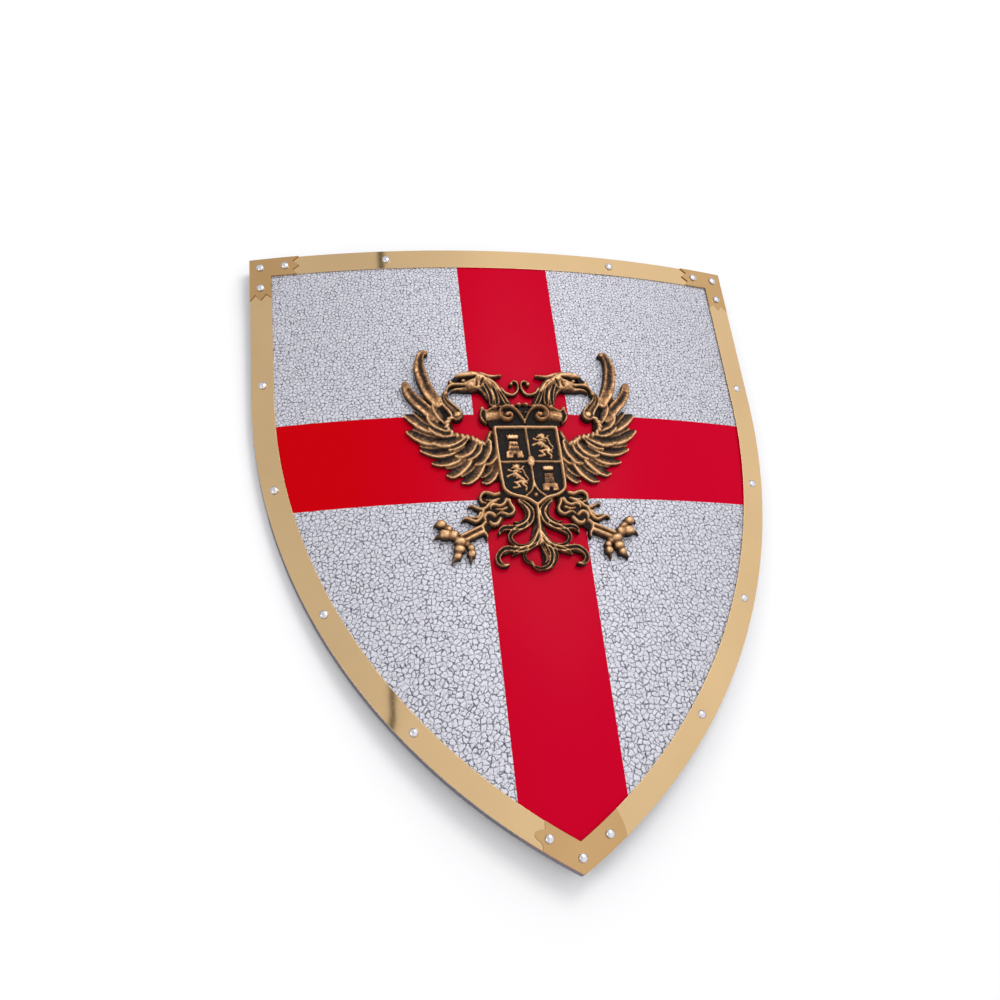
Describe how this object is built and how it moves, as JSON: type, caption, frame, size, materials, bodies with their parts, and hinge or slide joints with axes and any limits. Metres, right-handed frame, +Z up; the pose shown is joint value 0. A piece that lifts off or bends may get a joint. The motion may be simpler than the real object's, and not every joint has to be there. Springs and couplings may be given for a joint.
{
  "type": "decorative heater shield",
  "caption": "Curved steel heater shield with a red cross on silver crackle enamel, a riveted brass rim and a cast two-headed eagle, lying on its back.",
  "frame": {"origin": "on the surface the shield lies on, under the centre of its bounding box", "axes": "+X towards the shield's right as its face is looked at, +Y towards its top edge, +Z up out of the face"},
  "size_m": [0.4996, 0.6112, 0.0524],
  "materials": {
    "enamelled_steel": "silver crackle enamel with a gloss red cross",
    "polished_brass": "polished, slightly brushed",
    "bright_rivet": "domed and bright",
    "antique_bronze": "cast, dark patina in the hollows and rubbed bright ridges"
  },
  "bodies": {
    "root": {"shield_plate": "enamelled_steel", "rim_strip_top": "polished_brass", "rim_strip_left": "polished_brass", "rim_strip_right": "polished_brass", "corner_plate_left": "polished_brass", "corner_plate_right": "polished_brass", "tip_plate": "polished_brass", "rivet_tip_middle": "bright_rivet", "rivet_corner_left": "bright_rivet", "rivet_corner_left_top": "bright_rivet", "rivet_corner_left_side": "bright_rivet", "rivet_top_left": "bright_rivet", "rivet_tip_left": "bright_rivet", "rivet_side_left_1": "bright_rivet", "rivet_side_left_2": "bright_rivet", "rivet_side_left_3": "bright_rivet", "rivet_side_left_4": "bright_rivet", "rivet_corner_right": "bright_rivet", "rivet_corner_right_top": "bright_rivet", "rivet_corner_right_side": "bright_rivet", "rivet_top_right": "bright_rivet", "rivet_tip_right": "bright_rivet", "rivet_side_right_1": "bright_rivet", "rivet_side_right_2": "bright_rivet", "rivet_side_right_3": "bright_rivet", "rivet_side_right_4": "bright_rivet", "eagle_emblem": "antique_bronze"}
  },
  "joints": []
}
